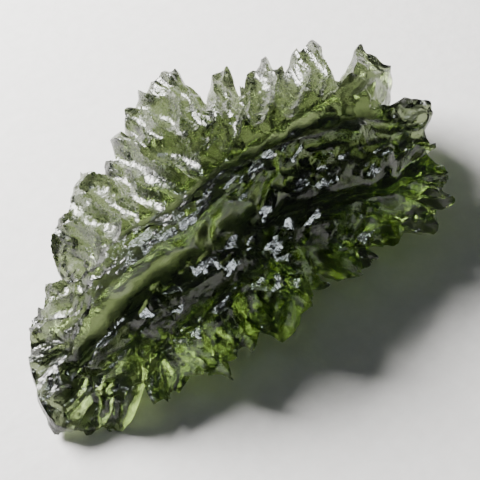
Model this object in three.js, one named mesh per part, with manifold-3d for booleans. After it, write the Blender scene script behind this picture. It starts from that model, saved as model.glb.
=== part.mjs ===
// Moldavite: one leaf-shaped piece of natural green glass, etched into U-shaped grooves
// that fan out from a long spine to a thin, toothed rim. It lies on its rounded underside.
// Millimetres, +Z up, long axis along X. The origin is the bottom centre of its box.
import * as THREE from "three";
import { ConvexGeometry } from "three/addons/geometries/ConvexGeometry.js";
import { mergeVertices } from "three/addons/utils/BufferGeometryUtils.js";
import Module from "manifold-3d";

// ---- driving dimensions ----
const spineHalfLength = 13;      // the grooves fan out from a straight spine of twice this length
const spineY = -1.5;
const edgeHalf = 0.1;            // half the thickness of the sharpest rim
const wallLean = THREE.MathUtils.degToRad(24);   // how far a groove's walls lean out
const toolHeight = 4;            // how far a cutting tool stands above its groove's axis
const undersideGrooves = 26;

// Height of the uncut top and underside over the spine, as [x, z].
const crown = [[-18, 2.8], [-16, 4], [-13, 5.6], [-10, 7.2], [-7, 8.1], [-3, 8.4], [2, 8.4],
  [7, 8.1], [11, 7.6], [15, 6.8], [18, 6]];
const belly = [[-18, -0.9], [-12, -0.5], [-6, -0.2], [0, -0.15], [8, -0.2], [13, -0.2], [15, 0.6],
  [18, 1.6]];
// Half the thickness that the rim keeps, as [angle round the spine, mm]: thick on the +Y side.
const rimBody = [[-Math.PI, 0.7], [-2.6, 0.3], [-0.5, 0.2], [0, 0.7], [0.6, 1.5], [2.2, 1.5],
  [2.8, 1.1], [Math.PI, 0.7]];

// The rim's tooth tips and notches in order round the stone, as [x, y, height].
const rim = [
  [-15.3, 1, 2.5], [-14.9, 2.4, 2.6], [-14, 2.2, 3], [-12.7, 3.3, 3.2], [-11.9, 2.7, 3.5],
  [-11.2, 2.9, 3.7], [-10.5, 2.3, 4], [-10.9, 3.6, 4.4], [-10.7, 4.5, 4.6], [-9.9, 5.4, 4.8],
  [-8.7, 5.6, 5], [-7.9, 6.6, 5], [-7, 7.2, 5], [-6.2, 7.3, 5.2], [-5, 8, 5.2], [-4.5, 7.4, 5.2],
  [-4.2, 6.6, 5.3], [-3.8, 7.5, 5.9], [-3, 7.1, 5.7], [-2.6, 8.9, 5], [-1.8, 9.2, 5],
  [-1.15, 8.3, 5.7], [-0.8, 9.4, 5.6], [0, 10.1, 5.8], [0.7, 10.2, 5.4], [1, 9.8, 5.2],
  [2, 11.4, 5], [2.35, 10.3, 5.3], [3, 10.8, 5.8], [3.9, 10.8, 6], [5.3, 10.9, 6.1],
  [5.2, 9.6, 6], [5, 8.2, 5.8], [4.9, 7, 5.6], [7.7, 9.4, 5], [8.6, 9.2, 5], [8, 6.8, 5.2],
  [8.5, 7.3, 5.1], [8.5, 6.4, 5.3], [9.8, 7.3, 5.4], [11, 7.2, 5.4], [11, 6.2, 5.4],
  [11.8, 6.4, 5.4], [11.6, 5.4, 5.4], [13.3, 6, 6.1], [15.1, 6.4, 5.5], [14.9, 4.6, 5.4],
  [14.2, 2.5, 5.4], [16.3, 3.3, 5.4], [17.6, 3.7, 5.4], [17.3, 2.6, 5.4], [17.8, 0.7, 5.5],
  [16.2, -0.3, 5.4], [14.3, -1.8, 5.4], [15.8, -3, 5.4], [16.4, -3.9, 5.4], [15.6, -4.6, 5.2],
  [14.3, -5.1, 5], [13.3, -5.9, 5], [14.4, -6.7, 4.6], [13.7, -8.6, 4.4], [13, -8.3, 4],
  [12.3, -9.6, 3.5], [11.8, -10.2, 3.1], [11, -9.8, 3], [9.9, -10.8, 2.5], [8.8, -9.6, 2.8],
  [8, -9.6, 3], [6.9, -10.1, 2.9], [6, -9.2, 3.3], [4.8, -10.5, 2.9], [3.9, -9.9, 2.8],
  [2.8, -9.9, 2.6], [1.8, -8.1, 3], [0.9, -9.3, 2.5], [0, -8.6, 3], [-0.9, -9.6, 2.9],
  [-2, -9.5, 2.8], [-2.9, -10.2, 2.5], [-3.9, -9.9, 2.1], [-4.7, -8.4, 2.5], [-5.9, -9.5, 2.4],
  [-6.7, -9, 2.5], [-7.5, -8.8, 2.5], [-8.5, -10, 2.1], [-9, -8.8, 2.2], [-9.8, -8.1, 2.3],
  [-10.8, -8.4, 2], [-12, -9.1, 1.5], [-12, -7.8, 1.8], [-12.7, -7.6, 1.8], [-11.9, -5.6, 2.4],
  [-13.8, -6.7, 0.7], [-15.3, -7, 0.3], [-16.3, -6.1, 0.4], [-17.2, -5.4, 0.7], [-18, -4.5, 1],
  [-17.9, -3.3, 1.5], [-17.7, -2.1, 1.8], [-17.3, -1.2, 2], [-16.7, -0.4, 2.2], [-15.9, 0.4, 2.4]];

// Grooves in the top, each a run of [x, y, depth below the uncut top, radius of its round floor].
const longChannels = [
  [[-9.9, 1, 0.4, 0.7], [-8, 0.6, 0.9, 1.1], [-5, 0.2, 1.2, 1.4], [-1, 0.4, 1.4, 1.4],
    [3, 0.3, 1.6, 1.5], [6, -0.1, 1.8, 1.8], [8.6, -0.6, 1.8, 2], [11, -1.7, 1.5, 1.7],
    [13, -3.4, 1.1, 1.1]],
  [[-15.8, -3, 0.5, 1.1], [-12, -3.7, 1.1, 1.7], [-9, -4.5, 1.4, 2.1], [-5, -5.2, 1.7, 2.4],
    [-1, -5.3, 1.8, 2.3], [1.2, -5.6, 1.9, 1.8], [3.2, -6.2, 1.9, 1.3], [6, -6.6, 1.8, 1.1],
    [9, -7.3, 1.6, 0.9], [12, -7.4, 1.2, 0.8], [15, -7.4, 1, 0.8]],
  [[-14.6, -4.2, 1, 0.45], [-11.8, -4.4, 1.7, 0.45], [-9.5, -4.4, 1.8, 0.3]],
  [[-14.2, -5.3, 1, 0.6], [-12, -5.5, 1.7, 0.6], [-9, -5.9, 2.1, 0.6], [-5, -6.2, 2.3, 0.6],
    [-1.5, -6.2, 2.3, 0.6], [0.8, -6.1, 2.1, 0.5]]];
const lowerFlank = [
  [[-16.8, -3.9, 0.8, 0.5], [-14.5, -4.3, 0.9, 0.5]],
  [[-9.7, -6.4, 1.9, 1.2], [-10.6, -8.2, 2, 1.1], [-11, -10.2, 1.8, 1.1]],
  [[-7.5, -6.2, 1.9, 1.1], [-7.4, -8.2, 2, 1], [-7.5, -10.5, 1.8, 1]],
  [[-13.1, -5.9, 0.7, 0.6], [-12.2, -6.8, 1.1, 0.6], [-12.6, -9, 1.2, 0.6]],
  [[-4.2, -6.3, 1.9, 0.9], [-4.6, -7.8, 1.9, 0.8], [-4.8, -10, 1.8, 0.7]],
  [[-1.4, -6.9, 2.1, 0.9], [-2.6, -7.4, 2.1, 0.9]],
  [[-1.3, -7.4, 2, 0.9], [-0.9, -8.6, 1.9, 0.8], [-0.4, -10.5, 1.8, 0.8]],
  [[-1.6, -5.5, 1.6, 0.5], [0.4, -6.1, 1.7, 0.6]],
  [[1.6, -6.9, 1.6, 0.8], [1.9, -8.1, 1.8, 0.8], [2.3, -10.6, 1.8, 0.8]],
  [[2.9, -3, 1.3, 0.6], [3.6, -3.7, 1.6, 0.8]],
  [[4.7, -3.3, 1.3, 0.7], [5.4, -4.3, 1.7, 0.9]],
  [[6.8, -4.2, 1.3, 0.6], [7.6, -5, 1.3, 0.6]],
  [[5.4, -2.6, 0.8, 0.35], [7.2, -3.2, 0.9, 0.35], [8.4, -4.3, 0.9, 0.4], [8.9, -5.4, 0.9, 0.4]],
  [[1, -5.5, 1.5, 0.5], [2.8, -6.1, 1.7, 0.6], [4.6, -6.9, 1.9, 0.7], [5.4, -7.5, 2, 0.7]],
  [[3.4, -7.9, 1.8, 0.7], [3.9, -9.2, 1.8, 0.7], [4, -10.9, 1.7, 0.7]],
  [[5.2, -8.1, 2, 0.8], [5.9, -9.2, 2, 0.8], [6.1, -11, 1.8, 0.8]],
  [[5.2, -6.3, 1.2, 0.4], [7, -7.7, 1.6, 0.5], [8.6, -9.2, 1.7, 0.6], [9.2, -11, 1.7, 0.7]],
  [[6.6, -6.2, 1.2, 0.4], [8.4, -7.3, 1.5, 0.5], [10.3, -8.7, 1.5, 0.6], [11.2, -10.8, 1.5, 0.7]],
  [[8.4, -6.5, 1.1, 0.4], [10.5, -7.8, 1.3, 0.45], [12.2, -9.2, 1.3, 0.5], [13, -10.8, 1.4, 0.6]],
  [[10, -6.9, 1, 0.4], [12, -7.7, 1.2, 0.45], [14.4, -9.1, 1.2, 0.5]],
  [[12, -7.1, 0.9, 0.35], [13.4, -7.5, 1, 0.4], [15.5, -8.3, 1, 0.4]]];
const rightEnd = [
  [[9.4, -4.7, 1.1, 0.6], [11, -5, 1.1, 0.5], [13.5, -5.8, 1.2, 0.5], [15.8, -6.2, 1.3, 0.6]],
  [[10.6, -3.9, 0.9, 0.4], [12, -4.4, 1, 0.5], [14.5, -4.6, 0.9, 0.4]],
  [[11.6, -2.2, 0.9, 0.5], [13.6, -2, 1.2, 0.5], [16, -1.5, 1.6, 0.6], [18, -1.2, 1.8, 0.7]],
  [[13, -3.4, 0.6, 0.4], [15.5, -3.6, 0.6, 0.4]],
  [[11, -0.4, 0.8, 0.9], [14, 0.2, 0.7, 1], [17, 0.9, 0.6, 1.1], [19, 1.2, 0.6, 1.1]],
  [[10, 0.1, 0.8, 0.3], [11.4, 0.7, 1.2, 0.35], [13.2, 1.9, 1.6, 0.45], [15.6, 4.2, 1.8, 0.7]],
  [[10.6, 1.2, 1.1, 0.6], [12.2, 3.2, 1.2, 0.7], [13.3, 5, 1, 0.6], [14.4, 7.2, 0.9, 0.6]]];
const upperFlank = [
  [[7, 1, 1.3, 0.7], [9.5, 3, 1.7, 0.8], [11.2, 5.2, 1.3, 0.8], [12.2, 7.4, 1, 0.6]],
  [[4.4, 1.8, 0.9, 0.6], [7.2, 3.7, 1.3, 0.75], [9.2, 6, 0.9, 0.7], [10.4, 8.2, 0.6, 0.6]],
  [[4.4, 3, 1.2, 0.4], [5.6, 4.3, 2, 0.5], [6.9, 5.9, 2.2, 0.5], [7.9, 6.9, 2.2, 0.3]],
  [[3.6, 3.8, 1.1, 0.4], [5.4, 5.9, 1, 0.5], [7.2, 8.2, 0.7, 0.5], [8.4, 10.2, 0.5, 0.5]],
  [[3.6, 5.1, 1.3, 0.45], [4.7, 6.8, 1.7, 0.5], [5.8, 8.6, 1.8, 0.5], [7, 11.4, 2, 0.8]],
  [[3.2, 4.8, 1.2, 0.5], [4, 7, 1.1, 0.6], [4.6, 9.6, 0.7, 0.6], [4.9, 12, 0.5, 0.6]],
  [[1.9, 4.1, 1, 0.45], [2.7, 6.2, 1.2, 0.5], [3.2, 8.6, 0.8, 0.5], [3.4, 11.5, 0.5, 0.5]],
  [[1, 0.6, 1.3, 0.7], [2.4, 2.2, 1.5, 0.7], [3.4, 3.4, 1.4, 0.5]],
  [[-0.5, 2.3, 0.9, 0.5], [0.8, 3, 1, 0.6]],
  [[0.3, 1.8, 0.7, 0.3], [1.9, 2.7, 0.8, 0.35]],
  [[0.6, 4.6, 1.2, 0.6], [1, 6.8, 1.4, 0.65], [1.2, 9, 1, 0.55], [1.3, 11.5, 0.8, 0.5]],
  [[-0.7, 5.3, 0.9, 0.35], [-0.75, 7.2, 0.9, 0.4], [-0.4, 9.3, 0.6, 0.4], [-0.2, 11, 0.5, 0.4]],
  [[-1.5, 0.8, 1.4, 0.8], [-1.3, 2.5, 1.6, 0.7], [-1.5, 4.6, 2, 1.1], [-1.7, 5.1, 1.9, 0.9]],
  [[-1.5, 6.3, 1.2, 0.3], [-1.25, 8, 1.1, 0.35], [-1.1, 10, 1, 0.4]],
  [[-3.5, 0.6, 1.4, 0.65], [-3.4, 3, 1.6, 0.7], [-3.6, 5, 1.2, 0.6], [-3.3, 7.2, 0.9, 0.5],
    [-3.1, 9, 0.8, 0.5]],
  [[-5.2, 0.7, 1.35, 0.65], [-5, 3, 1.7, 0.65], [-4.7, 5.2, 1.5, 0.5], [-4.5, 7.4, 1.5, 0.45],
    [-4.4, 9, 1.4, 0.5]],
  [[-7, 0.8, 1.2, 0.6], [-6.7, 3.2, 1.3, 0.65], [-6.4, 5.2, 1.3, 0.7], [-6.5, 6.2, 1, 0.7]],
  [[-8.6, 0.9, 1.1, 0.7], [-8.3, 3, 1.4, 0.75], [-8.4, 5, 0.8, 0.75], [-8.7, 7.6, 0.5, 0.7]],
  [[-10.1, 1, 1, 0.5], [-10.1, 2.8, 1.2, 0.55], [-10, 5, 0.6, 0.5], [-10, 7, 0.4, 0.5]]];
const leftLobe = [
  [[-10.4, 0.5, 1, 0.35], [-11.2, 1.8, 1.8, 0.5], [-11.6, 3.6, 2, 0.6]],
  [[-10.9, -0.5, 0.7, 0.45], [-12, 0.5, 0.9, 0.5], [-13.2, 1.8, 0.8, 0.5], [-14.2, 3.4, 0.8, 0.5]],
  [[-13.4, 0, 0.8, 0.5], [-14.3, 1.2, 0.8, 0.5], [-15.2, 2.8, 0.8, 0.5]],
  [[-13.2, -1, 0.7, 0.4], [-14.4, -0.6, 0.7, 0.4]],
  [[-14.9, -0.6, 0.7, 0.5], [-16.2, 0.4, 0.8, 0.5], [-17.4, 1.4, 0.9, 0.5]],
  [[-15.4, -1.6, 0.5, 0.5], [-18.2, -1.6, 0.5, 0.5]],
  [[-15.6, -5.4, 0.5, 0.7], [-18, -6.2, 0.5, 0.7]],
  [[-13, -5.6, 0.5, 0.4], [-15.6, -6.6, 0.5, 0.5], [-17.2, -7.8, 0.5, 0.5]]];

// Long hollows in the underside, as [x, y, height above the uncut underside, radius].
const hollows = [
  [[-12, 1.2, 1.2, 1.5], [-7, 1.8, 2.4, 2], [-1, 2, 3, 2.3], [6, 2, 3, 2.3],
    [10, 2.8, 2.4, 2], [13, 3, 1.6, 1.6]]];

const wasm = await Module();
wasm.setup();

// ---- the uncut stone ----
// Leaf coordinates: "out" grows from 0 on the spine, "round" is the angle round it.
function leafCoordinates(x, y) {
  const across = y - spineY;
  const toLeft = Math.hypot(x + spineHalfLength, across);
  const toRight = Math.hypot(x - spineHalfLength, across);
  const stretch = Math.max((toLeft + toRight) / (2 * spineHalfLength), 1);
  const turn = Math.acos(THREE.MathUtils.clamp((toLeft - toRight) / (2 * spineHalfLength), -1, 1));
  return { out: Math.sqrt(stretch * stretch - 1), round: across < 0 ? -turn : turn };
}

function leafPoint(out, round) {
  return [spineHalfLength * Math.sqrt(1 + out * out) * Math.cos(round),
    spineY + spineHalfLength * out * Math.sin(round)];
}

// Straight-line interpolation in a list of [position, value].
function along(list, at) {
  const next = list.findIndex(([position]) => position >= at);
  if (next === 0) return list[0][1];
  if (next < 0) return list[list.length - 1][1];
  const [[from, low], [to, high]] = [list[next - 1], list[next]];
  return low + (high - low) * (at - from) / (to - from);
}

const rimPoints = rim.map(([x, y, z]) => ({ ...leafCoordinates(x, y), z }))
  .sort((a, b) => a.round - b.round);
const wrapped = [-1, 0, 1].flatMap((lap) =>
  rimPoints.map((p) => ({ ...p, round: p.round + lap * 2 * Math.PI })));
const rimReach = wrapped.map((p) => [p.round, p.out]);
const rimHeight = wrapped.map((p) => [p.round, p.z]);

// Heights of the uncut top and underside where a point lies `part` of the way to the rim.
function faceHeights(x, part, round) {
  const height = along(rimHeight, round);
  const edgeTop = height + edgeHalf;
  const edgeBottom = height - edgeHalf - 2 * along(rimBody, round) + 0.4;
  const rise = Math.max(0, 1 - part ** 2.2) ** 0.8;
  const farSide = Math.max(0, Math.sin(round));
  const fall = Math.max(0, 1 - part ** (2.4 - 0.9 * farSide)) ** (0.7 + 0.3 * farSide);
  return { top: edgeTop + (along(crown, x) - edgeTop) * rise,
    bottom: edgeBottom + (along(belly, x) - edgeBottom) * fall };
}

function heightsAt(x, y) {
  const { out, round } = leafCoordinates(x, y);
  return faceHeights(x, out / along(rimReach, round), round);
}

// A closed lens: rings from near the spine to the rim, top and underside, joined at the rim.
function uncutStone() {
  const rings = [0.2, 0.55, 0.85, 1];
  const count = rimPoints.length;
  const positions = [];
  for (const face of ["top", "bottom"]) {
    for (const part of rings) {
      for (const point of rimPoints) {
        const [x, y] = leafPoint(point.out * part, point.round);
        positions.push(x, y, faceHeights(x, part, point.round)[face]);
      }
    }
  }
  const at = (face, ring, k) => (face * rings.length + ring) * count + (k % count);
  const index = [];
  const quad = (a, b, c, d) => index.push(a, b, c, a, c, d);
  for (let k = 0; k < count; k++) {
    for (let ring = 0; ring + 1 < rings.length; ring++) {
      quad(at(0, ring, k), at(0, ring + 1, k), at(0, ring + 1, k + 1), at(0, ring, k + 1));
      quad(at(1, ring, k + 1), at(1, ring + 1, k + 1), at(1, ring + 1, k), at(1, ring, k));
    }
    const last = rings.length - 1;
    quad(at(1, last, k), at(1, last, k + 1), at(0, last, k + 1), at(0, last, k));
  }
  const core = rimPoints.map((p) => new THREE.Vector2(...leafPoint(p.out * rings[0], p.round)));
  for (const [a, b, c] of THREE.ShapeUtils.triangulateShape(core, [])) {
    index.push(at(0, 0, a), at(0, 0, b), at(0, 0, c), at(1, 0, c), at(1, 0, b), at(1, 0, a));
  }
  const geometry = new THREE.BufferGeometry();
  geometry.setAttribute("position", new THREE.Float32BufferAttribute(positions, 3));
  geometry.setIndex(index);
  return geometry;
}

// ---- the grooves ----
// The cutter at one point of a groove: a round floor under walls that lean out.
// `facing` is 1 for a groove in the top and -1 for one in the underside.
function cutterPoints([x, y, depth, radius], facing) {
  const heights = heightsAt(x, y);
  const surface = facing > 0 ? heights.top : heights.bottom;
  const axis = surface - facing * (depth - radius);
  const sides = radius > 0.75 ? 8 : facing < 0 ? 5 : 6;
  const levels = [
    [radius * Math.SQRT1_2, -radius * Math.SQRT1_2],
    [radius * Math.cos(wallLean), -radius * Math.sin(wallLean)],
    [(radius + toolHeight * Math.sin(wallLean)) / Math.cos(wallLean), toolHeight]];
  const points = [new THREE.Vector3(x, y, axis - facing * radius)];
  for (const [reach, lift] of levels) {
    for (let k = 0; k < sides; k++) {
      const angle = 2 * Math.PI * k / sides;
      points.push(new THREE.Vector3(x + reach * Math.cos(angle), y + reach * Math.sin(angle),
        axis + facing * lift));
    }
  }
  return points;
}

function grooveCutters(groove, facing) {
  return groove.slice(1).map((node, k) =>
    new ConvexGeometry([...cutterPoints(groove[k], facing), ...cutterPoints(node, facing)]));
}

// Grooves fan out under the stone, cut up its resting face and notch the rim from below.
function undersideGroove(k) {
  const sway = Math.sin(k * 2.3);
  const round = -Math.PI + 2 * Math.PI * (k + 0.3 * sway) / undersideGrooves;
  const reach = along(rimReach, round);
  const start = 0.3 + 0.14 * Math.sin(k * 3.1);
  const depth = (0.55 + 0.15 * Math.sin(k * 1.7)) * (round > 0 ? 1 : 1.3);
  const radius = 0.6 + 0.15 * sway;
  return [[start, 0.8], [0.7, 1.2], [1.12, 0.6]].map(([part, share]) =>
    [...leafPoint(reach * part, round), depth * share, radius]);
}

// ---- solids ----
function toSolid(geometry) {
  geometry.deleteAttribute("normal");
  geometry.deleteAttribute("uv");
  const merged = mergeVertices(geometry, 1e-4);
  return new wasm.Manifold(new wasm.Mesh({
    numProp: 3,
    vertProperties: Float32Array.from(merged.attributes.position.array),
    triVerts: Uint32Array.from(merged.index.array),
  }));
}

function toGeometry(solid) {
  const mesh = solid.getMesh();
  const geometry = new THREE.BufferGeometry();
  geometry.setAttribute("position", new THREE.Float32BufferAttribute(mesh.vertProperties, 3));
  geometry.setIndex(Array.from(mesh.triVerts));
  return geometry;
}

function etchedStone() {
  let solid = toSolid(uncutStone());
  const topGrooves = [longChannels, lowerFlank, rightEnd, upperFlank, leftLobe].flat();
  const undersideCuts = [
    ...hollows, ...Array.from({ length: undersideGrooves }, (_, k) => undersideGroove(k))];
  const cutters = [
    ...topGrooves.flatMap((groove) => grooveCutters(groove, 1)),
    ...undersideCuts.flatMap((groove) => grooveCutters(groove, -1))];
  for (const cutter of cutters) solid = solid.subtract(toSolid(cutter));
  // Worn flat where it rests: everything below z = 0 goes.
  const above = new THREE.BoxGeometry(60, 60, 20);
  above.translate(0, 0, 10);
  return toGeometry(solid.intersect(toSolid(above)));
}

const geometry = etchedStone();
geometry.computeBoundingBox();
const centre = geometry.boundingBox.getCenter(new THREE.Vector3());
geometry.translate(-centre.x, -centre.y, 0);
geometry.computeVertexNormals();

const greenGlass = new THREE.MeshStandardMaterial({ color: 0x55702a, roughness: 0.12, metalness: 0 });
const stone = new THREE.Mesh(geometry, greenGlass);
stone.name = "moldavite";

const model = new THREE.Group();
model.name = "moldavite_stone";
model.add(stone);
export default model;
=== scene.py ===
"""A moldavite: one leaf-shaped stone of natural green glass, on a pale paper floor.

The stone is worked out in millimetres as a signed field: a closed lens round a straight spine,
cut by U-shaped grooves, by gullies that run down the grooves' walls, by pleats at the rim and by
small flat ledges. The field becomes one closed mesh with crisp crests, and a Geometry Nodes tree
ripples its skin.
"""

import math

import bpy
import numpy as np
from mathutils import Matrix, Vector


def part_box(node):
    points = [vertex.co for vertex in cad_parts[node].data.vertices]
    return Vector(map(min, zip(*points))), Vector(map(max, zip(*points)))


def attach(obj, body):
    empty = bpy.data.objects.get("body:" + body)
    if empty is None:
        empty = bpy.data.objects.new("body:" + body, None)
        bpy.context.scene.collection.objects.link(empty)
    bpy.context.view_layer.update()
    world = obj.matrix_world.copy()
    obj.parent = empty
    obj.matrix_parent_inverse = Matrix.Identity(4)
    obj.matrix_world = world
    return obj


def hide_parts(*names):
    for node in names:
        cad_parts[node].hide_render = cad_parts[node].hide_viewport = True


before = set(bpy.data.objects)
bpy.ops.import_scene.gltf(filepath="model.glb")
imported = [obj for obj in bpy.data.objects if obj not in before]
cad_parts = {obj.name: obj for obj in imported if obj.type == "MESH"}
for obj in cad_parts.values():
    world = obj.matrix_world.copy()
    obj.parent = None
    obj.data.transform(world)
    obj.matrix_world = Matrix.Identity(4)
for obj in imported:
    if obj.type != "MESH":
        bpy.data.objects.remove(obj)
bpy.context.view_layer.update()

MM = 0.001

# ---- driving dimensions, in millimetres ----
SPINE_HALF = 13.0        # the grooves fan out from a straight spine of twice this length
SPINE_Y = -1.5
EDGE_HALF = 0.1          # half the thickness of the sharpest rim
SHARP_BODY = 0.2         # an entry in RIM_BODY of this much adds nothing to that
LEAN = math.radians(24)  # how far a groove's walls lean out
CELL = 0.16              # grid step of the stone's surface
TILE = 1.5               # cuts are looked up by square tiles of this size
SKIN = 0.3               # points nearer the lens than this, or inside it, are tried for cuts
UNDERSIDE_GROOVES = 26
CALM_CHANNELS = 2        # the first long channels, whose floors and walls stay smooth
SCALLOPS = 20            # shell-like facets on the top
GULLIES = 24             # small grooves down the walls of the large ones
PLEATS = 30              # small grooves that notch the rim

# The way the ledges face, which mirrors the ceiling light to the camera, and how much each one
# differs from it.
LEDGE_UP = [-0.31, -0.15, 0.94]
LEDGE_TILT = 0.06

# Sways of the surface, as (how far a point moves, over what length, seed).
BROAD_SWAY = (0.3, 5, 21)
FINE_SWAY = (0.03, 1.5, 22)
RAGGED_SWAY = (0.16, 1.1, 23)

# The ripples and striations turn from along the spine to out along the grooves between these
# shares of the way to the rim.
FANNED = (0.1, 0.3)

# Height of the uncut top and underside over the spine, as (x, z).
CROWN = [(-18, 2.8), (-16, 4), (-13, 5.6), (-10, 7.2), (-7, 8.1), (-3, 8.4), (2, 8.4),
         (7, 8.1), (11, 7.6), (15, 6.8), (18, 6)]
BELLY = [(-18, -0.9), (-12, -0.5), (-6, -0.2), (0, -0.15), (8, -0.2), (13, -0.2), (15, 0.6),
         (18, 1.6)]
# How blunt the rim is, as (angle round the spine, mm). Its thickness is 2 * EDGE_HALF plus twice
# what this has over SHARP_BODY. The far (+Y) side is thick.
RIM_BODY = [(-math.pi, 0.7), (-2.6, 0.3), (-0.5, 0.2), (0, 0.7), (0.6, 1.5), (2.2, 1.5),
            (2.8, 1.1), (math.pi, 0.7)]

# The rim's tooth tips and notches in order round the stone, as (x, y, height).
RIM = [
    (-15.3, 1, 2.5), (-14.9, 2.4, 2.6), (-14, 2.2, 3), (-12.7, 3.3, 3.2), (-11.9, 2.7, 3.5),
    (-11.2, 2.9, 3.7), (-10.5, 2.3, 4), (-10.9, 3.6, 4.4), (-10.7, 4.5, 4.6), (-9.9, 5.4, 4.8),
    (-8.7, 5.6, 5), (-7.9, 6.6, 5), (-7, 7.2, 5), (-6.2, 7.3, 5.2), (-5, 8, 5.2), (-4.5, 7.4, 5.2),
    (-4.2, 6.6, 5.3), (-3.8, 7.5, 5.9), (-3, 7.1, 5.7), (-2.6, 8.9, 5), (-1.8, 9.2, 5),
    (-1.15, 8.3, 5.7), (-0.8, 9.4, 5.6), (0, 10.1, 5.8), (0.7, 10.2, 5.4), (1, 9.8, 5.2),
    (2, 11.4, 5), (2.35, 10.3, 5.3), (3, 10.8, 5.8), (3.9, 10.8, 6), (5.3, 10.9, 6.1),
    (5.2, 9.6, 6), (5, 8.2, 5.8), (4.9, 7, 5.6), (7.7, 9.4, 5), (8.6, 9.2, 5), (8, 6.8, 5.2),
    (8.5, 7.3, 5.1), (8.5, 6.4, 5.3), (9.8, 7.3, 5.4), (11, 7.2, 5.4), (11, 6.2, 5.4),
    (11.8, 6.4, 5.4), (11.6, 5.4, 5.4), (13.3, 6, 6.1), (15.1, 6.4, 5.5), (14.9, 4.6, 5.4),
    (14.2, 2.5, 5.4), (16.3, 3.3, 5.4), (17.6, 3.7, 5.4), (17.3, 2.6, 5.4), (17.8, 0.7, 5.5),
    (16.2, -0.3, 5.4), (14.3, -1.8, 5.4), (15.8, -3, 5.4), (16.4, -3.9, 5.4), (15.6, -4.6, 5.2),
    (14.3, -5.1, 5), (13.3, -5.9, 5), (14.4, -6.7, 4.6), (13.7, -8.6, 4.4), (13, -8.3, 4),
    (12.3, -9.6, 3.5), (11.8, -10.2, 3.1), (11, -9.8, 3), (9.9, -10.8, 2.5), (8.8, -9.6, 2.8),
    (8, -9.6, 3), (6.9, -10.1, 2.9), (6, -9.2, 3.3), (4.8, -10.5, 2.9), (3.9, -9.9, 2.8),
    (2.8, -9.9, 2.6), (1.8, -8.1, 3), (0.9, -9.3, 2.5), (0, -8.6, 3), (-0.9, -9.6, 2.9),
    (-2, -9.5, 2.8), (-2.9, -10.2, 2.5), (-3.9, -9.9, 2.1), (-4.7, -8.4, 2.5), (-5.9, -9.5, 2.4),
    (-6.7, -9, 2.5), (-7.5, -8.8, 2.5), (-8.5, -10, 2.1), (-9, -8.8, 2.2), (-9.8, -8.1, 2.3),
    (-10.8, -8.4, 2), (-12, -9.1, 1.5), (-12, -7.8, 1.8), (-12.7, -7.6, 1.8), (-11.9, -5.6, 2.4),
    (-13.8, -6.7, 0.7), (-15.3, -7, 0.3), (-16.3, -6.1, 0.4), (-17.2, -5.4, 0.7), (-18, -4.5, 1),
    (-17.9, -3.3, 1.5), (-17.7, -2.1, 1.8), (-17.3, -1.2, 2), (-16.7, -0.4, 2.2), (-15.9, 0.4, 2.4)]

# Grooves in the top, each a run of (x, y, depth below the uncut top, radius of its round floor).
LONG_CHANNELS = [
    [(-9.9, 1, 0.4, 0.7), (-8, 0.6, 0.9, 1.1), (-5, 0.2, 1.2, 1.4), (-1, 0.4, 1.4, 1.4),
      (3, 0.3, 1.6, 1.5), (6, -0.1, 1.8, 1.8), (8.6, -0.6, 1.8, 2), (11, -1.7, 1.5, 1.7),
      (13, -3.4, 1.1, 1.1)],
    [(-15.8, -3, 0.5, 1.1), (-12, -3.7, 1.1, 1.7), (-9, -4.5, 1.4, 2.1), (-5, -5.2, 1.7, 2.4),
      (-1, -5.3, 1.8, 2.3), (1.2, -5.6, 1.9, 1.8), (3.2, -6.2, 1.9, 1.3), (6, -6.6, 1.8, 1.1),
      (9, -7.3, 1.6, 0.9), (12, -7.4, 1.2, 0.8), (15, -7.4, 1, 0.8)],
    [(-14.6, -4.2, 1, 0.45), (-11.8, -4.4, 1.7, 0.45), (-9.5, -4.4, 1.8, 0.3)],
    [(-14.2, -5.3, 1, 0.6), (-12, -5.5, 1.7, 0.6), (-9, -5.9, 2.1, 0.6), (-5, -6.2, 2.3, 0.6),
      (-1.5, -6.2, 2.3, 0.6), (0.8, -6.1, 2.1, 0.5)]]
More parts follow.
